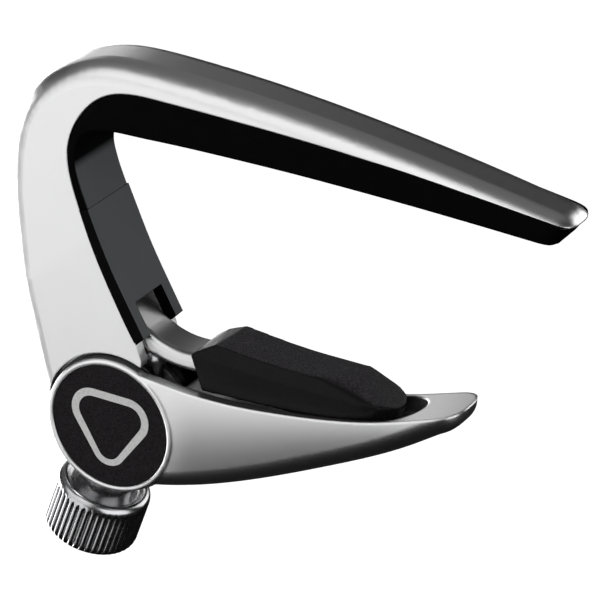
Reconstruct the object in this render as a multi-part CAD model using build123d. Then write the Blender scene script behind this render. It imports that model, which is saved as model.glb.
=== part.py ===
from build123d import *
import os
from math import cos, radians, sin

# Guitar capo: a C-shaped body whose upper arm presses a rubber pad on the strings, and a release arm
# whose thumbscrew pushes a curved lever, with its rubber neck pad, up against the back of the neck.
# Millimetres. Origin: middle of the string pad's face. +X along the upper arm towards its tip,
# +Y along the guitar's neck, +Z from the fretboard up through the upper arm.

# Driving sizes -------------------------------------------------------------------------------------
BODY_HALF = 5.0            # half width of the body along Y
FOOT_HALF = 5.8            # the leg widens towards its foot
EDGE_ROUND = 3.0           # rounding of the body's outer edges
TIP_X = 33.2               # end of the upper arm
TIP_HALF = 4.5             # half width at the upper arm's tip
LEG_FOOT = (-40.6, -39.6)  # outer end of the leg, as (x, z)
LEG_TOE = (-25.1, -31.9)   # inner end of the leg

PAD_CAMBER = 580.0         # radius of the string pad's hollow face
PAD_END_X = 30.6
PAD_HEEL_X = -30.3
SEAM = (-34.0, -11.9)      # where the string pad meets the leg's liner

HUB = (-29.0, -41.9)       # release arm's hinge axis, as (x, z)
HUB_HALF = 6.0             # half width over the hub's faces
HUB_INSIDE = 4.4           # inner faces of the hub's two discs
RIM_RADIUS = 9.45
BADGE_RADIUS = 8.7
BADGE_FLOOR = 5.4
BADGE_FACE = 5.9
SOCKET_RADIUS = 10.05      # the body's round cut-out around the hub
KNUCKLE_RADIUS = 6.4       # the body's two eyes around the barrel
KNUCKLE_IN, KNUCKLE_OUT = 2.75, 3.8
BUSH_WALL = 0.65
BUSH_FLANGE = 9.85
BARREL_RADIUS = 4.0
RUN_CLEARANCE = 0.05

LINER_END = (-24.85, -28.35)  # foot of the liner's face
CHANNEL_HALF = 3.45        # slot in the leg, for the lever
SLOT_HALF = 3.35           # slot in the leg's liner
SLOT_TOP_Z = -24.4
LEVER_HALF = 3.05
LEVER_THICK = 2.6
LEVER_PIVOT = (-36.0, -23.5)
LEVER_SLOPE = 31.4         # degrees below level, from the pivot to the bend
LEVER_BEND = 12.0
EYE_RADIUS = 2.7
LEVER_PIN_RADIUS = 1.25
LEVER_BUSH_RADIUS = 1.9
PIN_HALF = 4.2

SCREW_TILT = 16.8          # degrees, screw axis from upright, in the XZ plane
SCREW_RADIUS = 2.45
SPIGOT_RADIUS = 1.3        # screw's reduced end inside the foot
FOOT_RADIUS = 2.1
FOOT_CENTRE = 8.9          # centre of the foot's dome, from the hinge axis
FOOT_SKIRT = 6.4
COLLAR_RADIUS = 3.7
COLLAR_TOP = 10.1
KNOB_RADIUS = 6.5
KNOB_LOW, KNOB_HIGH = 20.6, 12.3   # knob's far and near ends, from the hinge axis
KNOB_RIBS = 46
RIB_RADIUS = 0.3
DISH_RADIUS = 4.9
DISH_DEPTH = 0.7
FAR_DISH_DEPTH = 0.6

ARM_TIP_X = 19.8           # end of the release arm
ARM_HALF = 5.85            # half width of the release arm beside the hub
ARM_TIP_HALF = 4.6
ARM_EDGE_ROUND = 2.8       # rounding of the release arm's underside
HOLLOW_RADIUS = 10.0       # space inside the release arm, around the body's knuckle
TROUGH_HALF = 4.25
TROUGH_END_X = 13.5

NECK_PAD_HALF = 3.95
NECK_PAD_BEVEL = 0.5

SPRING_WIRE = 0.3
SPRING_RADIUS = 2.3


# Helpers ---------------------------------------------------------------------------------------------
def in_xz(points):
    """Points of the XZ plane, given as (x, z)."""
    return [(x, 0, z) for x, z in points]


def slab(edges, y_low, y_high):
    """The closed outline, drawn in the XZ plane, made a solid from y_low to y_high."""
    solid = extrude(make_face(edges), amount=y_high - y_low, dir=(0, 1, 0))
    return Pos(0, y_low, 0) * solid


def polygon_slab(points, y_low, y_high):
    return slab(Polyline(*in_xz(points), close=True), y_low, y_high)


def disc(centre, radius, y_low, y_high):
    """A cylinder along Y."""
    plane = Plane(origin=(centre[0], y_low, centre[1]), x_dir=(1, 0, 0), z_dir=(0, 1, 0))
    return extrude(plane * Circle(radius), amount=y_high - y_low)


def both_sides(solid):
    """The solid and its mirror image in the middle plane."""
    return solid + mirror(solid, Plane.XZ)


def screw_plane(distance):
    """The plane square to the screw's axis, at a distance from the hinge axis towards the lever."""
    tilt = radians(SCREW_TILT)
    axis = (sin(tilt), 0, cos(tilt))
    origin = (HUB[0] + distance * axis[0], 0, HUB[1] + distance * axis[2])
    return Plane(origin=origin, x_dir=(0, 1, 0), z_dir=axis)


def rod(radius, start, end):
    """A cylinder on the screw's axis between two distances from the hinge axis."""
    return extrude(screw_plane(start) * Circle(radius), amount=end - start)


def arm_plan(x_root, half_root, flare, x_end, half_end, corner):
    """An arm's outline from above. It narrows towards a rounded tip and may flare behind its root."""
    edges = []
    for side in (1, -1):
        root = (x_root, side * half_root)
        turn = (x_end - corner, side * half_end)
        nose = (x_end, side * 0.6)
        lean = (1, -side * 0.03)
        edges.append(Line((-70, side * (half_root + flare * (70 + x_root))), root))
        edges.append(Spline(root, turn, tangents=[(1, -side * flare), lean]))
        edges.append(Spline(turn, nose, tangents=[lean, (0, -side)]))
    edges.append(Line((x_end, 0.6), (x_end, -0.6)))
    edges.append(Line(edges[0] @ 0, edges[3] @ 0))
    return extrude(make_face(edges), amount=80, both=True)


def body_width(inset=0.0):
    """The body's outline from above and from the side: the leg widens a little towards its foot."""
    plan = arm_plan(-10, BODY_HALF - 0.02 - inset, 0.012, TIP_X - inset, TIP_HALF - inset, 3.4)
    foot, top = FOOT_HALF - inset, BODY_HALF - 0.12 - inset
    leg = make_face(Polyline((0, foot, -60), (0, top, 15), (0, -top, 15), (0, -foot, -60), close=True))
    return plan & extrude(leg, amount=80, dir=(1, 0, 0), both=True)


def edges_along(solid, curves):
    """The solid's edges that lie beside the given curves of the XZ plane, and not square to it."""
    found = []
    for edge in solid.edges():
        spots = [edge @ u for u in (0.1, 0.5, 0.9)]
        far = max(min(c.distance_to(Vector(p.X, 0, p.Z)) for c in curves) for p in spots)
        run = (edge @ 1) - (edge @ 0)
        if far < 0.02 and Vector(run.X, 0, run.Z).length > 0.05 and abs(spots[1].Y) > 0.01:
            found.append(edge)
    return found


# Body ------------------------------------------------------------------------------------------------
def outer_curves():
    """The body's outer outline, from the arm's tip round the shoulder to the foot of the leg."""
    start, crest = (TIP_X, 2.2), (-24.0, 8.75)
    top = Spline(*in_xz([start, (4.0, 6.65), crest]), tangents=[(-1, 0, 0.18), (-1, 0, 0.02)])
    shoulder = Spline(
        *in_xz([crest, (-36.4, 7.3), (-43.4, 2.2), (-46.6, -7.5), (-45.6, -20.0), LEG_FOOT]),
        tangents=[(-1, 0, 0.02), (0.3, 0, -1)],
    )
    return top, shoulder


def neck_space():
    """The space inside the C, whose edge is where the rubber and the liner sit."""
    bend = (-25.0, 5.25)
    under = Spline(
        *in_xz([(37.0, 0.9), (30.5, 1.75), (8.6, 4.2), bend]),
        tangents=[(-1, 0, 0.12), (-1, 0, 0)],
    )
    corner = Spline(
        *in_xz([bend, (-33.2, 3.2), (-37.25, -4.6), (-35.3, -12.2), (-30.9, -21.5), (-26.1, -29.3), LEG_TOE]),
        tangents=[(-1, 0, 0), (0.35, 0, -0.93)],
    )
    close = Polyline(*in_xz([LEG_TOE, (LEG_TOE[0], -60), (50, -60), (50, 0.9), (37.0, 0.9)]))
    return slab([under, corner, close], -8, 8)


def lever_channel():
    outline = [(-27.0, -21.8), (-38.8, -19.7), (-40.3, -23.5), (-38.3, -30.5), (-32.5, -32.6), (-30.6, -36.0)]
    outline.append((-22.0, -36.0))
    return polygon_slab(outline, -CHANNEL_HALF, CHANNEL_HALF)


def knuckle():
    """The two eyes at the end of the leg that hold the release arm's barrel."""
    web = polygon_slab([HUB, (-27.2, -31.5), (-34.0, -32.6), (-38.6, -36.4)], KNUCKLE_IN, KNUCKLE_OUT)
    web &= disc(HUB, SOCKET_RADIUS + 0.9, KNUCKLE_IN, KNUCKLE_OUT)
    eye = disc(HUB, KNUCKLE_RADIUS, KNUCKLE_IN, KNUCKLE_OUT) + web
    eye -= disc(HUB, BARREL_RADIUS + RUN_CLEARANCE + BUSH_WALL, 0, HUB_HALF)
    return both_sides(eye)


def make_frame():
    top, shoulder = outer_curves()
    close = Polyline(*in_xz([LEG_FOOT, HUB, (-20, -20), (TIP_X, -12), (TIP_X, 2.2)]))
    blank = slab([top, shoulder, close], -6, 6) & body_width()
    body = fillet(edges_along(blank, [top, shoulder]), EDGE_ROUND)
    body -= neck_space()
    body -= lever_channel()
    body -= disc(HUB, SOCKET_RADIUS, -8, 8)
    body += knuckle()
    body -= disc(LEVER_PIVOT, LEVER_PIN_RADIUS + RUN_CLEARANCE, -PIN_HALF - 0.1, PIN_HALF + 0.1)
    return body


def make_string_pad():
    """The rubber face of the upper arm. It turns the corner and ends at a seam on the leg."""
    tip_z = -(PAD_END_X**2) / (2 * PAD_CAMBER)
    heel_z = -(PAD_HEEL_X**2) / (2 * PAD_CAMBER)
    face = ThreePointArc((PAD_END_X, 0, tip_z), (0, 0, 0), (PAD_HEEL_X, 0, heel_z))
    heel = Spline(
        *in_xz([(PAD_HEEL_X, heel_z), (-36.0, -6.0), SEAM]),
        tangents=[(-1, 0, -0.1), (0.44, 0, -0.9)],
    )
    behind = [SEAM, (-37.5, -13.0), (-50, -13.0), (-50, 20), (PAD_END_X + 9, 20), (PAD_END_X + 2.2, 2.4)]
    behind.append((PAD_END_X, tip_z))
    block = slab([face, heel, Polyline(*in_xz(behind))], -6, 6)
    return block & neck_space() & body_width(0.15)


def make_leg_liner():
    """The plastic cover on the inside of the leg, with the lever's slot open at its foot."""
    face = Spline(
        *in_xz([(SEAM[0] + 0.15, SEAM[1] - 0.35), (-30.1, -19.7), (-27.55, -24.0), LINER_END]),
        tangents=[(0.44, 0, -0.9), (0.52, 0, -0.85)],
    )
    behind = [LINER_END, (-26.0, -29.6), (-50, -26), (-50, -13.35), (-37.5, -13.35)]
    behind.append((SEAM[0] + 0.15, SEAM[1] - 0.35))
    liner = slab([face, Polyline(*in_xz(behind))], -7, 7) & neck_space() & body_width()
    return liner - Pos(-28, 0, SLOT_TOP_Z - 10) * Box(20, 2 * SLOT_HALF, 20)


# Hub and release arm ---------------------------------------------------------------------------------
def make_bush():
    """Black flanged bearing between the rear hub disc and the knuckle, for the barrel."""
    bore = BARREL_RADIUS + RUN_CLEARANCE
    sleeve = disc(HUB, bore + BUSH_WALL, KNUCKLE_IN, KNUCKLE_OUT)
    flange = disc(HUB, BUSH_FLANGE, KNUCKLE_OUT, HUB_INSIDE - 0.1)
    return sleeve + flange - disc(HUB, bore, 0, HUB_HALF)


def make_barrel():
    """Cross barrel of the hub, tapped for the screw."""
    return disc(HUB, BARREL_RADIUS, -BADGE_FLOOR, BADGE_FLOOR) - rod(SCREW_RADIUS + RUN_CLEARANCE, -9, 9)


def trough():
    """The recess in the release arm's top that holds the lever and the neck pad."""
    start, end = (-30.0, -36.2), (TROUGH_END_X, -31.6)
    floor = Spline(*in_xz([start, (-10.0, -35.7), (4.0, -34.3), end]), tangents=[(1, 0, 0), (1, 0, 0.35)])
    close = Polyline(*in_xz([end, (end[0], -20), (start[0], -20), start]))
    length = TROUGH_END_X + 40
    plan = Plane.XY * (Pos(TROUGH_END_X - length / 2, 0) * SlotOverall(length, 2 * TROUGH_HALF))
    return slab([floor, close], -8, 8) & extrude(plan, amount=80, both=True)


def above_release_arm():
    """Everything above the release arm's top edge."""
    root, nose = (-28.1, -33.1), (ARM_TIP_X + 1, -26.9)
    edge = Spline(
        *in_xz([root, (-14.8, -34.0), (-3.1, -33.1), (8.3, -31.0), nose]),
        tangents=[(1, 0, -0.1), (0.96, 0, 0.28)],
    )
    return slab([edge, Polyline(*in_xz([nose, (nose[0], 0), (root[0], 0), root]))], -8, 8)


def make_release_arm():
    tip, heel = (ARM_TIP_X, -29.4), (-22.5, -49.7)
    belly = Spline(
        *in_xz([tip, (13.0, -33.9), (2.0, -39.9), (-9.4, -45.2), heel]),
        tangents=[(-0.86, 0, -0.5), (-1, 0, -0.25)],
    )
    close = Polyline(*in_xz([heel, HUB, (-28.1, -33.1), (-28.1, -15), (ARM_TIP_X, -15), tip]))
    blank = slab([belly, close], -6, 6) & arm_plan(-20, ARM_HALF, 0, ARM_TIP_X, ARM_TIP_HALF, 3.6)
    jaw = fillet(edges_along(blank, [belly]), ARM_EDGE_ROUND)
    jaw -= above_release_arm()
    jaw -= disc(HUB, HOLLOW_RADIUS, -HUB_INSIDE, HUB_INSIDE)
    hub_disc = disc(HUB, RIM_RADIUS, HUB_INSIDE, HUB_HALF)
    hub_disc = fillet(hub_disc.edges().group_by(Axis.Y)[-1], 0.3)
    arm = jaw + both_sides(hub_disc)
    arm -= trough()
    arm -= both_sides(disc(HUB, BADGE_RADIUS, BADGE_FLOOR, HUB_HALF + 1))
    return arm - disc(HUB, BARREL_RADIUS, -HUB_HALF, HUB_HALF)


def make_badge():
    badge = disc(HUB, BADGE_RADIUS, BADGE_FLOOR, BADGE_FACE)
    return chamfer(badge.edges().group_by(Axis.Y)[-1], 0.12)


# Thumbscrew ------------------------------------------------------------------------------------------
def make_screw():
    shank = rod(SCREW_RADIUS, -KNOB_LOW + 1.5, FOOT_SKIRT - 0.05)
    shank = chamfer(shank.edges().sort_by(Axis.Z)[-1], 0.4)
    return shank + rod(SPIGOT_RADIUS, FOOT_SKIRT - 1, FOOT_CENTRE - 0.4)


def make_knob():
    """The fluted thumb knob, with chamfered rims and a dish round the screw at its near end."""
    core = Circle(KNOB_RADIUS - RIB_RADIUS)
    ribs = PolarLocations(KNOB_RADIUS - RIB_RADIUS, KNOB_RIBS) * Circle(RIB_RADIUS)
    section = Sketch() + core + ribs
    height = KNOB_LOW - KNOB_HIGH
    knob = extrude(section, amount=height)
    knob &= chamfer(extrude(Circle(KNOB_RADIUS), amount=height).edges(), 0.8)
    dish = extrude(Circle(DISH_RADIUS), amount=5)
    knob -= Pos(0, 0, height - DISH_DEPTH) * dish
    knob -= Pos(0, 0, FAR_DISH_DEPTH - 5) * dish
    return screw_plane(-KNOB_LOW).location * knob - rod(SCREW_RADIUS, -KNOB_LOW + 1.5, 0)


def make_collar():
    """Plain neck on the screw between the hub and the knob."""
    return rod(COLLAR_RADIUS, -KNOB_HIGH - DISH_DEPTH, -COLLAR_TOP) - rod(SCREW_RADIUS, -KNOB_HIGH - 1, 0)


def make_foot():
    """Domed swivel foot on the screw's end, which bears on the lever."""
    dome = screw_plane(FOOT_CENTRE).location * Sphere(FOOT_RADIUS)
    foot = dome + rod(FOOT_RADIUS, FOOT_SKIRT, FOOT_CENTRE)
    foot -= rod(SPIGOT_RADIUS + RUN_CLEARANCE, 0, FOOT_CENTRE - 0.35)
    foot -= rod(SPIGOT_RADIUS + 0.35, FOOT_SKIRT + 0.8, FOOT_SKIRT + 1.3)
    return foot


def make_foot_clip():
    """Spring ring that keeps the foot on the screw."""
    low, high = FOOT_SKIRT + 0.8, FOOT_SKIRT + 1.3
    return rod(SPIGOT_RADIUS + 0.35, low, high) - rod(SPIGOT_RADIUS + RUN_CLEARANCE, low - 1, high + 1)


# Lever and neck pad ----------------------------------------------------------------------------------
def lever_path():
    slope = radians(LEVER_SLOPE)
    start = (LEVER_PIVOT[0] + cos(slope), LEVER_PIVOT[1] - sin(slope))
    reach = 14.9
    bend = (LEVER_PIVOT[0] + reach * cos(slope), LEVER_PIVOT[1] - reach * sin(slope))
    return FilletPolyline(*in_xz([start, bend, (6.0, -30.0)]), radius=LEVER_BEND)


def make_lever():
    path = lever_path()
    section = Plane(origin=path @ 0, x_dir=(0, 1, 0), z_dir=path % 0)
    bar = sweep(section * RectangleRounded(2 * LEVER_HALF, LEVER_THICK, 1.0), path=path)
    lever = bar + disc(LEVER_PIVOT, EYE_RADIUS, -LEVER_HALF, LEVER_HALF)
    lever -= disc(LEVER_PIVOT, LEVER_BUSH_RADIUS, -8, 8)
    return lever - disc(LEVER_PIVOT, EYE_RADIUS + 0.4, -SPRING_RADIUS / 2, SPRING_RADIUS / 2)


def make_lever_bush():
    bush = disc(LEVER_PIVOT, LEVER_BUSH_RADIUS, -LEVER_HALF, LEVER_HALF)
    return bush - disc(LEVER_PIVOT, LEVER_PIN_RADIUS + RUN_CLEARANCE, -8, 8)


def make_lever_pin():
    pin = disc(LEVER_PIVOT, LEVER_PIN_RADIUS, -PIN_HALF, PIN_HALF)
    return chamfer(pin.edges(), 0.2)


def make_return_spring():
    """Coil round the lever's bush, with an end that reaches back into the leg and one under the lever."""
    ring = Torus(SPRING_RADIUS, SPRING_WIRE)
    centre = Plane(origin=(LEVER_PIVOT[0], 0, LEVER_PIVOT[1]), x_dir=(1, 0, 0), z_dir=(0, 1, 0))
    coil = Part()
    for turn in (-1, 0, 1):
        coil += centre.location * Pos(0, 0, turn * 1.9 * SPRING_WIRE) * ring
    start = (LEVER_PIVOT[0] - SPRING_RADIUS, -1.9 * SPRING_WIRE, LEVER_PIVOT[1])
    back = Plane(origin=start, z_dir=(0, 0, -1))
    coil += extrude(back * Circle(SPRING_WIRE), amount=2.4)
    return coil


def make_neck_pad():
    """Faceted rubber block on the end of the lever."""
    outline = [(-18.3, -29.1), (-13.8, -27.1), (-0.6, -27.6), (4.0, -27.5), (9.2, -29.4), (9.2, -31.7),
               (3.0, -32.9), (-16.4, -33.8)]
    block = polygon_slab(outline, -NECK_PAD_HALF, NECK_PAD_HALF)
    crown = [e for e in block.edges() if abs(e.center().Y) > NECK_PAD_HALF - 0.01]
    block = chamfer(crown, NECK_PAD_BEVEL)
    return block - make_lever()


# Assembly --------------------------------------------------------------------------------------------
def build_nodes():
    bush = make_bush()
    badge = make_badge()
    return {
        "frame": make_frame(),
        "string_pad": make_string_pad(),
        "leg_liner": make_leg_liner(),
        "rear_bush": bush,
        "front_bush": mirror(bush, Plane.XZ),
        "arm_barrel": make_barrel(),
        "release_arm": make_release_arm(),
        "rear_badge": badge,
        "front_badge": mirror(badge, Plane.XZ),
        "adjusting_screw": make_screw(),
        "thumb_knob": make_knob(),
        "knob_collar": make_collar(),
        "screw_foot": make_foot(),
        "foot_clip": make_foot_clip(),
        "pad_lever": make_lever(),
        "lever_bush": make_lever_bush(),
        "lever_pin": make_lever_pin(),
        "return_spring": make_return_spring(),
        "neck_pad": make_neck_pad(),
    }


os.makedirs("parts", exist_ok=True)
for name, solid in build_nodes().items():
    export_step(solid, f"parts/{name}.step")
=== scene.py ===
import bpy
import bmesh
from math import atan2, cos, pi, radians, sin
from mathutils import Matrix, Vector


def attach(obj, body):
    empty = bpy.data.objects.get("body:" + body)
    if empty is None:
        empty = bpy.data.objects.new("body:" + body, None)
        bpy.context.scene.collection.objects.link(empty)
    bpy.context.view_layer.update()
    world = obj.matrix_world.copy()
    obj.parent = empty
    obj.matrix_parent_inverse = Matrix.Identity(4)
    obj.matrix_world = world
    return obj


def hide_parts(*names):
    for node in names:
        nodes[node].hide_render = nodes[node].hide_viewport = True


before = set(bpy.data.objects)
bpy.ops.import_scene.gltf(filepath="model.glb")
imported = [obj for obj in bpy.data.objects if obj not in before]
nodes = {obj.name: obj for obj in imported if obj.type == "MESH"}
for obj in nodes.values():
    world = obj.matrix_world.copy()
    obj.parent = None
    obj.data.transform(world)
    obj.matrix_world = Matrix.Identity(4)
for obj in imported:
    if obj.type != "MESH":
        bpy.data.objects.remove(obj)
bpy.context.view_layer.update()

MM = 0.001

# ---------------------------------------------------------------- camera
cam_data = bpy.data.cameras.new("camera")
cam = bpy.data.objects.new("camera", cam_data)
bpy.context.scene.collection.objects.link(cam)
right = Vector((0.88023, 0.47149, 0.05380))
back = Vector((0.40531, -0.80592, 0.43152)).normalized()
right = (right - back * right.dot(back)).normalized()
up = back.cross(right)
turn = Matrix((right, up, back)).transposed().to_4x4()
cam.matrix_world = Matrix.Translation(Vector((0.201737, -0.411370, 0.200919))) @ turn
cam_data.lens = 240
cam_data.sensor_width = 36
cam_data.clip_start = 0.01
cam_data.clip_end = 20
bpy.context.scene.camera = cam
bpy.context.scene.view_settings.view_transform = "Standard"


# ---------------------------------------------------------------- materials
class Mat:
    """A principled material built up from procedural layers."""

    def __init__(self, name, color, metallic, rough, **extra):
        self.m = bpy.data.materials.new(name)
        self.m.use_nodes = True
        self.t = self.m.node_tree
        self.b = self.t.nodes["Principled BSDF"]
        self.b.inputs["Base Color"].default_value = (*color, 1)
        self.b.inputs["Metallic"].default_value = metallic
        self.b.inputs["Roughness"].default_value = rough
        for key, value in extra.items():
            self.b.inputs[key.replace("_", " ")].default_value = value
        self.coord = self.t.nodes.new("ShaderNodeTexCoord")

    def link(self, a, b):
        self.t.links.new(a, b)

    def noise(self, scale, detail=3.0, rough=0.55):
        n = self.t.nodes.new("ShaderNodeTexNoise")
        n.inputs["Scale"].default_value = scale
        n.inputs["Detail"].default_value = detail
        n.inputs["Roughness"].default_value = rough
        self.link(self.coord.outputs["Object"], n.inputs["Vector"])
        return n.outputs["Fac"]

    def spread(self, fac, low, high, a=0.3, b=0.7):
        r = self.t.nodes.new("ShaderNodeMapRange")
        r.inputs["From Min"].default_value = a
        r.inputs["From Max"].default_value = b
        r.inputs["To Min"].default_value = low
        r.inputs["To Max"].default_value = high
        self.link(fac, r.inputs["Value"])
        return r.outputs["Result"]

    def mix(self, fac, a, b):
        n = self.t.nodes.new("ShaderNodeMix")
        n.data_type = "RGBA"
        n.inputs["A"].default_value = (*a, 1)
        n.inputs["B"].default_value = (*b, 1)
        self.link(fac, n.inputs["Factor"])
        return n.outputs["Result"]

    def rough(self, fac, low, high, a=0.3, b=0.7):
        self.link(self.spread(fac, low, high, a, b), self.b.inputs["Roughness"])

    def color(self, fac, ca, cb, a=0.3, b=0.7):
        self.link(self.mix(self.spread(fac, 0, 1, a, b), ca, cb), self.b.inputs["Base Color"])

    def bump(self, *layers, edge=0.0):
        """layers are (fac, height in metres); `edge` softens the sharp edges by that radius."""
        normal = None
        if edge:
            n = self.t.nodes.new("ShaderNodeBevel")
            n.samples = 6
            n.inputs["Radius"].default_value = edge
            normal = n.outputs["Normal"]
        for fac, depth in layers:
            n = self.t.nodes.new("ShaderNodeBump")
            n.inputs["Strength"].default_value = 1.0
            n.inputs["Distance"].default_value = depth
            self.link(fac, n.inputs["Height"])
            if normal:
                self.link(normal, n.inputs["Normal"])
            normal = n.outputs["Normal"]
        self.link(normal, self.b.inputs["Normal"])
        self.normal = normal

    def math(self, op, a, b):
        n = self.t.nodes.new("ShaderNodeMath")
        n.operation = op
        for i, v in enumerate((a, b)):
            if isinstance(v, (int, float)):
                n.inputs[i].default_value = v
            else:
                self.link(v, n.inputs[i])
        return n.outputs[0]

    def split(self, vector):
        n = self.t.nodes.new("ShaderNodeSeparateXYZ")
        self.link(vector, n.inputs[0])
        return n.outputs

    def painted_face_light(self, side, face, low, high):
        """Painted light: colour `face` where the surface points along +X and a little up, and `side`
        elsewhere, for the light that face catches.
        """
        axis = self.split(self.coord.outputs["Normal"])
        along = self.spread(axis[0], 0, 1, low, high)
        rising = self.spread(axis[2], 0, 1, 0.02, 0.26)
        painted_light_share = self.math("MULTIPLY", along, rising)
        # painted light: the paler colour on this face stands for the light it catches
        self.color(painted_light_share, side, face, 0, 1)

    def crown(self, top_z, slope, reach):
        """Lean the normal down, by up to `reach`, with the share of the arm's height that lies above.

        It stands for sides that bulge slightly. The arm's top edge runs from top_z at x = 0 with `slope`.
        """
        spot = self.split(self.coord.outputs["Object"])
        chord = self.math("MULTIPLY", spot[0], slope)
        depth = self.math("SUBTRACT", self.math("ADD", chord, top_z), spot[2])
        ramp = self.t.nodes.new("ShaderNodeMapRange")
        ramp.interpolation_type = "SMOOTHSTEP"
        ramp.inputs["From Min"].default_value = -0.026
        ramp.inputs["From Max"].default_value = -0.016
        self.link(spot[0], ramp.inputs["Value"])
        height = self.math("SUBTRACT", 0.0086, self.math("MULTIPLY", spot[0], 0.29))
        share = self.math("DIVIDE", self.math("MAXIMUM", depth, -0.002), self.math("MAXIMUM", height, 0.0025))
        lean = self.math("MULTIPLY", share, self.math("MULTIPLY", ramp.outputs[0], -reach))
        join = self.t.nodes.new("ShaderNodeCombineXYZ")
        self.link(lean, join.inputs[2])
        add = self.t.nodes.new("ShaderNodeVectorMath")
        add.operation = "ADD"
        self.link(self.normal, add.inputs[0])
        self.link(join.outputs[0], add.inputs[1])
        unit = self.t.nodes.new("ShaderNodeVectorMath")
        unit.operation = "NORMALIZE"
        self.link(add.outputs[0], unit.inputs[0])
        self.link(unit.outputs[0], self.b.inputs["Normal"])


def satin_metal(name, tone, rough, grain, crowned=False):
    m = Mat(name, (tone, tone, tone * 1.005), 1.0, rough)
    fine = m.noise(4200, 2)
    drift = m.noise(60, 2)
    m.rough(m.spread(fine, 0.0, 1.0), rough - 0.025, rough + 0.025, 0, 1)
    m.color(drift, (tone * 0.98, tone * 0.98, tone * 0.985), (tone, tone, tone * 1.005))
    m.bump((fine, grain), edge=(0.5 if crowned else 0.25) * MM)
    if crowned:
        m.crown(-31.0 * MM, 0.15, 0.16)
    return m.m


def rubber(name, side, face, rough, level, grain):
    """Black rubber whose inward face, which bears on the guitar, is painted paler than its sides: a painted
    highlight for the light that face catches.
    """
    m = Mat(name, side, 0.0, rough, Specular_IOR_Level=level)
    fine = m.noise(4200, 2)
    # painted highlight: the face pointing along +X and a little up is coloured paler
    m.painted_face_light(side, face, 0.55, 0.85)
    m.rough(m.noise(420, 3), rough - 0.05, rough + 0.05)
    m.bump((fine, grain), edge=0.15 * MM)
    return m.m


M = {}
M["satin"] = satin_metal("satin_metal", 0.80, 0.33, 0.45e-6)
M["jaw"] = satin_metal("satin_metal_arm", 0.85, 0.305, 0.33e-6, True)
M["lever"] = satin_metal("lever_metal", 0.68, 0.32, 0.05e-6)

m = Mat("bright_steel", (0.52, 0.52, 0.53), 1.0, 0.24)
m.rough(m.noise(700, 4), 0.21, 0.27)
m.bump((m.noise(2600, 2), 0.4e-6))
M["knob"] = m.m

m = Mat("collar_steel", (0.30, 0.30, 0.31), 1.0, 0.28)
m.rough(m.noise(700, 4), 0.25, 0.31)
m.bump((m.noise(2600, 2), 0.4e-6))
M["collar"] = m.m

m = Mat("inner_steel", (0.4, 0.4, 0.41), 1.0, 0.28)
m.rough(m.noise(900, 4), 0.22, 0.36)
m.bump((m.noise(3000, 2), 1.5e-6))
M["steel"] = m.m

m = Mat("barrel_brass", (0.6, 0.45, 0.22), 1.0, 0.3)
m.rough(m.noise(900, 4), 0.22, 0.4)
m.bump((m.noise(3000, 2), 1.5e-6))
M["brass"] = m.m

# both rubbers get a painted highlight in their paler second colour, on the face that points along +X and a
# little up
M["string_rubber"] = rubber("string_rubber", (0.0008,) * 3, (0.092, 0.099, 0.103), 0.6, 0.035, 2.0e-6)
M["liner"] = rubber("liner_plastic", (0.0008,) * 3, (0.092, 0.099, 0.103), 0.6, 0.05, 2.0e-6)

m = Mat("neck_rubber", (0.0055, 0.0045, 0.0052), 0.0, 0.44, Specular_IOR_Level=0.14)
speck = m.noise(5200, 2)
upward = m.spread(m.split(m.coord.outputs["Normal"])[2], 0.06, 1.0, 0.80, 0.97)
# painted light: the upward face is painted paler, speckled by fine noise, for the light the top catches
painted_top_light = m.math("MULTIPLY", upward, m.spread(speck, 0.2, 1.0, 0.35, 0.7))
m.color(painted_top_light, (0.0026, 0.0018, 0.0024), (0.085, 0.080, 0.086), 0, 1)
m.rough(m.noise(300, 4), 0.38, 0.5)
m.bump((speck, 4.0e-6))
M["neck_rubber"] = m.m

m = Mat("bush_plastic", (0.002, 0.002, 0.0022), 0.0, 0.12, Specular_IOR_Level=0.3)
m.rough(m.noise(600, 4), 0.10, 0.2)
m.bump((m.noise(2400, 2), 1.0e-6))
M["bush"] = m.m

m = Mat("badge_face", (0.010, 0.009, 0.010), 0.0, 0.55, Specular_IOR_Level=0.12)
speck = m.noise(5200, 2)
m.color(speck, (0.0030, 0.0025, 0.0032), (0.024, 0.020, 0.023), 0.35, 0.78)
m.rough(m.noise(900, 3), 0.5, 0.62)
m.bump((speck, 6.0e-6))
M["badge"] = m.m

m = Mat("badge_mark", (0.78, 0.78, 0.775), 0.9, 0.5)
m.color(m.noise(3800, 2), (0.68, 0.68, 0.675), (0.80, 0.80, 0.795))
m.rough(m.noise(1500, 3), 0.5, 0.62)
m.bump((m.noise(4200, 2), 2.0e-6))
M["mark"] = m.m


def smooth(obj, angle=32):
    for p in obj.data.polygons:
        p.use_smooth = True
    chosen = {"selected_objects": [obj], "selected_editable_objects": [obj]}
    with bpy.context.temp_override(object=obj, active_object=obj, **chosen):
        bpy.ops.object.shade_smooth_by_angle(angle=radians(angle))


def dress(obj, mat):
    obj.data.materials.clear()
    obj.data.materials.append(mat)
    return obj


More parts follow.
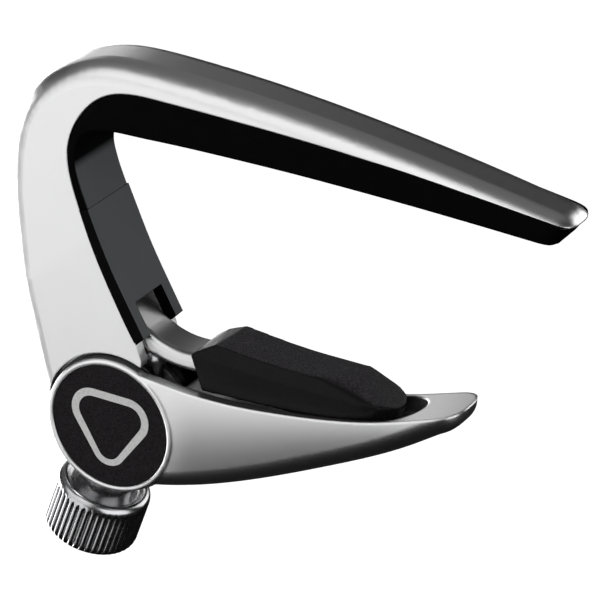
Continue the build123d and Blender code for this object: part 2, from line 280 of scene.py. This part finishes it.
DRESS = {
    "frame": ("satin", "satin_metal"),
    "release_arm": ("jaw", "satin_metal"),
    "leg_liner": ("liner", "liner_plastic"),
    "rear_bush": ("bush", "bush_plastic"),
    "front_bush": ("bush", "bush_plastic"),
    "arm_barrel": ("brass", "barrel_brass"),
    "rear_badge": ("badge", "badge_face"),
    "front_badge": ("badge", "badge_face"),
    "adjusting_screw": ("steel", "inner_steel"),
    "thumb_knob": ("knob", "bright_steel"),
    "knob_collar": ("collar", "bright_steel"),
    "screw_foot": ("steel", "inner_steel"),
    "foot_clip": ("steel", "inner_steel"),
    "pad_lever": ("lever", "lever_metal"),
    "lever_bush": ("brass", "barrel_brass"),
    "lever_pin": ("steel", "inner_steel"),
    "return_spring": ("steel", "inner_steel"),
    "string_pad": ("string_rubber", "string_rubber"),
    "neck_pad": ("neck_rubber", "neck_rubber"),
}
for name, (key, slot) in DRESS.items():
    dress(nodes[name], M[key])
    smooth(nodes[name])


# ---------------------------------------------------------------- mesh helpers
def new_object(name, verts, faces):
    me = bpy.data.meshes.new(name)
    me.from_pydata([tuple(v) for v in verts], [], faces)
    me.validate()
    ob = bpy.data.objects.new(name, me)
    bpy.context.scene.collection.objects.link(ob)
    bm = bmesh.new()
    bm.from_mesh(me)
    bmesh.ops.recalc_face_normals(bm, faces=bm.faces)
    bm.to_mesh(me)
    bm.free()
    return ob


def loft(name, rings):
    """A closed skin over rings of the same number of points, with flat ends."""
    n = len(rings[0])
    verts = [p for ring in rings for p in ring]
    faces = []
    for i in range(len(rings) - 1):
        for j in range(n):
            k = (j + 1) % n
            faces.append((i * n + j, i * n + k, (i + 1) * n + k, (i + 1) * n + j))
    faces.append(tuple(range(n)))
    faces.append(tuple((len(rings) - 1) * n + j for j in range(n)))
    return new_object(name, verts, faces)


def curve(points, per_span):
    """A smooth run through the points, which may have any number of numbers each."""
    out = []
    last = len(points) - 1
    for i in range(last):
        p = [points[max(i - 1, 0)], points[i], points[i + 1], points[min(i + 2, last)]]
        for s in range(per_span):
            t = s / per_span
            out.append(tuple(
                0.5 * (2 * b + (c - a) * t
                       + (2 * a - 5 * b + 4 * c - d) * t * t
                       + (3 * b - a - 3 * c + d) * t ** 3)
                for a, b, c, d in zip(*p)
            ))
    out.append(tuple(points[-1]))
    return out


def round_rect(height, half, r_low, r_high, steps=5):
    """(u, v) points of a rounded rectangle, u from 0 to height, v from -half to half."""
    pts = []
    for cu, cv, r, start in (
        (height - r_high, half - r_high, r_high, 0),
        (r_low, half - r_low, r_low, 90),
        (r_low, -half + r_low, r_low, 180),
        (height - r_high, -half + r_high, r_high, 270),
    ):
        for s in range(steps + 1):
            a = radians(start + 90 * s / steps)
            pts.append((cu + r * cos(a), cv + r * sin(a)))
    return pts


# ---------------------------------------------------------------- string pad
# stations: (x, z) where the rubber meets the body, (x, z) on its own face, half width
PAD = [
    (32.05, 1.55, 30.55, -0.96, 2.90),
    (31.75, 1.62, 30.30, -0.97, 3.50),
    (31.20, 1.75, 29.90, -0.95, 3.95),
    (30.20, 1.92, 29.00, -0.90, 4.22),
    (28.00, 2.20, 27.00, -0.80, 4.34),
    (20.00, 3.15, 19.50, -0.50, 4.50),
    (8.60, 4.28, 8.40, -0.20, 4.66),
    (-5.00, 5.04, -5.00, -0.06, 4.84),
    (-18.00, 5.32, -18.00, -0.28, 4.92),
    (-25.00, 5.34, -26.00, -0.60, 4.96),
    (-31.00, 4.40, -32.20, -1.00, 4.98),
    (-35.30, 0.80, -35.30, -2.60, 5.00),
    (-37.15, -4.6, -36.05, -5.90, 5.02),
    (-36.55, -8.6, -35.30, -8.90, 5.06),
    (-35.30, -12.64, -33.87, -12.21, 5.10),
]


def string_pad():
    rings = []
    stations = curve(PAD, 8)
    last = len(stations) - 1
    for i, (ax, az, bx, bz, half) in enumerate(stations):
        a, b = Vector((ax, 0, az)), Vector((bx, 0, bz))
        down = (b - a).normalized()
        height = (b - a).length
        ring = []
        for u, v in round_rect(height, half, 0.12, 0.42):
            ring.append((a + down * u + Vector((0, v, 0))) * MM)
        rings.append(ring)
    mid = sum(rings[0], Vector()) / len(rings[0])
    out = (mid - sum(rings[1], Vector()) / len(rings[1])).normalized()
    tip = []
    for k in range(5, 0, -1):
        a = radians(90 * k / 5)
        tip.append([mid + (p - mid) * (1 - 0.10 * (1 - cos(a))) + out * 0.16 * MM * sin(a) for p in rings[0]])
    ob = loft("string_pad_soft", tip + rings)
    smooth(ob, 50)
    return ob


pad = string_pad()
dress(pad, M["string_rubber"])
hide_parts("string_pad")
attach(pad, "body")


# ---------------------------------------------------------------- neck pad
# corners of the block in mm: round its upper face, along the widest line, and round its foot
CREST = [
    (-14.3, 3.5, -26.9), (-15.2, -3.5, -27.15), (-11.0, -3.45, -27.35), (-5.7, -3.42, -27.3),
    (-2.1, -3.35, -27.3), (-0.6, -3.1, -27.3), (1.0, -2.5, -27.3), (2.6, -1.3, -27.3),
    (3.5, 0.2, -27.3), (4.0, 1.8, -27.35), (4.05, 3.1, -27.4), (-5.0, 3.45, -27.3),
    (-17.0, 3.75, -28.15), (-17.2, -3.8, -28.35),
]
CREASE = [
    (-18.6, -3.9, -29.4), (-18.8, 3.9, -29.6), (-10.0, -4.05, -29.3), (-10.0, 4.05, -29.3),
    (2.0, -4.05, -29.4), (2.0, 4.05, -29.4), (6.2, -3.95, -29.4), (6.2, 3.95, -29.3),
    (8.3, -3.4, -29.4), (8.3, 3.5, -29.4), (9.6, -2.3, -29.7), (9.7, 2.6, -29.75),
    (10.3, -0.8, -30.1), (10.4, 1.0, -30.1),
]
FOOT = [
    (-16.7, -3.85, -34.1), (-16.7, 3.85, -34.1), (3.0, -3.95, -33.1), (3.0, 3.95, -33.1),
    (7.2, -3.6, -32.4), (7.2, 3.6, -32.4), (9.2, -2.4, -31.9), (9.2, 2.4, -31.9),
    (10.1, -0.8, -31.6), (10.1, 0.8, -31.6),
]
HOLLOW = 0.42                  # how far the upper face dips, mm
HOLLOW_FROM, HOLLOW_TO = -14.3, 4.0


def neck_pad():
    bm = bmesh.new()
    for p in CREST + CREASE + FOOT:
        bm.verts.new(Vector(p) * MM)
    hull = bmesh.ops.convex_hull(bm, input=bm.verts)
    loose = [v for v in hull["geom_interior"] if isinstance(v, bmesh.types.BMVert)]
    bmesh.ops.delete(bm, geom=loose, context="VERTS")
    for k in range(-17, 10):
        whole = bm.verts[:] + bm.edges[:] + bm.faces[:]
        bmesh.ops.bisect_plane(bm, geom=whole, plane_co=(k * MM, 0, 0), plane_no=(1, 0, 0))
    for v in bm.verts:
        x, z = v.co.x / MM, v.co.z / MM
        if HOLLOW_FROM < x < HOLLOW_TO:
            u = (x - HOLLOW_FROM) / (HOLLOW_TO - HOLLOW_FROM)
            v.co.z -= HOLLOW * MM * sin(pi * u) * min(max((z + 29.3) / 2.0, 0), 1)
    me = bpy.data.meshes.new("neck_pad_soft")
    bm.to_mesh(me)
    bm.free()
    ob = bpy.data.objects.new("neck_pad_soft", me)
    bpy.context.scene.collection.objects.link(ob)
    mesh = ob.modifiers.new("skin", "REMESH")
    mesh.mode = "VOXEL"
    mesh.voxel_size = 0.2 * MM
    soft = ob.modifiers.new("soft", "SMOOTH")
    soft.factor = 0.5
    soft.iterations = 6
    for p in me.polygons:
        p.use_smooth = True
    mesh.use_smooth_shade = True
    return ob


block = neck_pad()
dress(block, M["neck_rubber"])
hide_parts("neck_pad")
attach(block, "lever")


# ---------------------------------------------------------------- thumb knob
HUB = Vector((-29.0, 0, -41.9))
TILT = radians(16.8)
AXIS = Vector((sin(TILT), 0, cos(TILT)))
SIDE = Vector((0, 1, 0))
FRONT = SIDE.cross(AXIS)
RIBS = 46
# (distance from the hinge axis, radius, how much of the fluting shows)
KNOB = [
    (12.95, 3.4, 0), (12.95, 4.5, 0), (12.9, 4.72, 0), (12.72, 4.95, 0), (12.5, 5.15, 0),
    (12.35, 5.38, 0), (12.3, 5.6, 0), (12.34, 5.82, 0), (12.48, 6.06, 0), (12.7, 6.26, 0),
    (13.0, 6.4, 0), (13.35, 6.47, 0.03), (13.55, 6.49, 0.3), (13.75, 6.5, 0.75), (14.0, 6.5, 1),
    (15.5, 6.5, 1), (17.0, 6.5, 1), (18.0, 6.5, 1), (19.2, 6.5, 1), (19.5, 6.48, 1),
    (19.8, 6.42, 0.9), (20.05, 6.3, 0.6), (20.26, 6.12, 0.25), (20.44, 5.88, 0.05), (20.56, 5.56, 0),
    (20.6, 5.2, 0), (20.55, 4.95, 0), (20.2, 4.8, 0), (20.02, 4.5, 0), (20.0, 2.0, 0),
    (20.0, 0.5, 0),
]
FLUTE_DEPTH = 0.34


def knob():
    per = 12
    n = RIBS * per
    verts, faces = [], []
    for s, r, w in KNOB:
        for j in range(n):
            a = 2 * pi * j / n
            groove = 1 - abs(sin(RIBS * a / 2)) ** 0.7
            q = r - FLUTE_DEPTH * w * groove
            verts.append((HUB - AXIS * s + SIDE * (q * cos(a)) + FRONT * (q * sin(a))) * MM)
    for i in range(len(KNOB) - 1):
        for j in range(n):
            k = (j + 1) % n
            faces.append((i * n + j, i * n + k, (i + 1) * n + k, (i + 1) * n + j))
    faces.append(tuple((len(KNOB) - 1) * n + j for j in range(n)))
    ob = new_object("thumb_knob_fluted", verts, faces)
    smooth(ob, 50)
    return ob


grip = knob()
dress(grip, M["knob"])
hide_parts("thumb_knob")
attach(grip, "thumbscrew")


# ---------------------------------------------------------------- badge marks
def plectrum(spread, radius, steps=14):
    """A rounded triangle, point down: three wide sides and three rounded corners."""
    corners = [radians(a) for a in (-90, 30, 150)]
    centres = [Vector((spread * cos(a), spread * sin(a) * 1.04)) for a in corners]
    pts = []
    for i, c in enumerate(centres):
        before, after = centres[i - 1], centres[(i + 1) % 3]
        def outward(p, q):
            d = (q - p).normalized()
            return atan2(-d.x, d.y)
        start, stop = outward(before, c), outward(c, after)
        while stop < start:
            stop += 2 * pi
        for s in range(steps + 1):
            a = start + (stop - start) * s / steps
            r = radius * (0.82 if i == 0 else 1.0)
            pts.append(c + Vector((cos(a), sin(a))) * r)
    return pts


def badge_mark(name, side):
    """A plain plectrum outline, printed slightly proud of the black disc."""
    low, high = 5.87 * MM, 5.93 * MM
    verts, faces = [], []
    outer, inner = plectrum(3.1, 3.15), plectrum(3.1, 2.05)
    for ring, y in ((outer, low), (outer, high), (inner, high), (inner, low)):
        for p in ring:
            verts.append((HUB.x * MM + p.x * MM, side * y, HUB.z * MM + p.y * MM))
    n = len(outer)
    for band in range(3):
        for j in range(n):
            k = (j + 1) % n
            faces.append((band * n + j, band * n + k, (band + 1) * n + k, (band + 1) * n + j))
    ob = new_object(name, verts, faces)
    smooth(ob, 30)
    dress(ob, M["mark"])
    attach(ob, "release")
    return ob


badge_mark("front_badge_mark", -1)
badge_mark("rear_badge_mark", 1)


# ---------------------------------------------------------------- floor and light
FLOOR_HALF, FLOOR_Z = 8, -0.5
corners = [(-FLOOR_HALF, -FLOOR_HALF, 0), (FLOOR_HALF, -FLOOR_HALF, 0)]
corners += [(FLOOR_HALF, FLOOR_HALF, 0), (-FLOOR_HALF, FLOOR_HALF, 0)]
floor = new_object("floor", corners, [(0, 1, 2, 3)])
floor.location = (0, 0, FLOOR_Z)
m = Mat("floor_white", (0.9, 0.9, 0.9), 0.0, 0.9, Specular_IOR_Level=0.1)
m.b.inputs["Emission Color"].default_value = (1, 1, 1, 1)
m.b.inputs["Emission Strength"].default_value = 0.95
floor.data.materials.append(m.m)
floor.visible_glossy = False
floor.visible_diffuse = False

world = bpy.data.worlds.new("world")
bpy.context.scene.world = world
world.use_nodes = True
world.node_tree.nodes["Background"].inputs["Color"].default_value = (0.95, 0.96, 1.0, 1)
world.node_tree.nodes["Background"].inputs["Strength"].default_value = 0.002


def panel(name, azimuth, elevation, reach, size, glow):
    """A soft square light: `glow` is its brightness as seen, its direction is from the object's middle."""
    az, el = radians(azimuth), radians(elevation)
    middle = Vector((-0.006, 0, -0.026))
    spot = middle + Vector((cos(el) * sin(az), -cos(el) * cos(az), sin(el))) * reach
    data = bpy.data.lights.new(name, "AREA")
    data.shape = "RECTANGLE"
    data.size, data.size_y = size
    data.energy = glow * pi * size[0] * size[1]
    ob = bpy.data.objects.new(name, data)
    bpy.context.scene.collection.objects.link(ob)
    ob.location = spot
    ob.rotation_euler = (middle - spot).to_track_quat("-Z", "Y").to_euler()
    ob.visible_camera = False
    return ob


# azimuth 0 is straight in front (-Y), positive towards +X
panel("front_left", -29, -12, 0.8, (0.76, 0.60), 1.18)
panel("front_left_high", -24, 31, 0.8, (1.05, 0.58), 1.15)
panel("front_high", 2, 58, 0.8, (0.42, 0.32), 1.3)
panel("top", -120, 62, 0.9, (1.3, 1.3), 0.13)
panel("left", -111, -23, 0.55, (0.66, 0.42), 4.8)
panel("left_back", -136, 9, 0.8, (0.34, 0.34), 0.85)
panel("right", 68, 8, 0.8, (1.0, 0.75), 1.6)
panel("back_right", 153, 17, 0.9, (0.62, 0.6), 1.8)
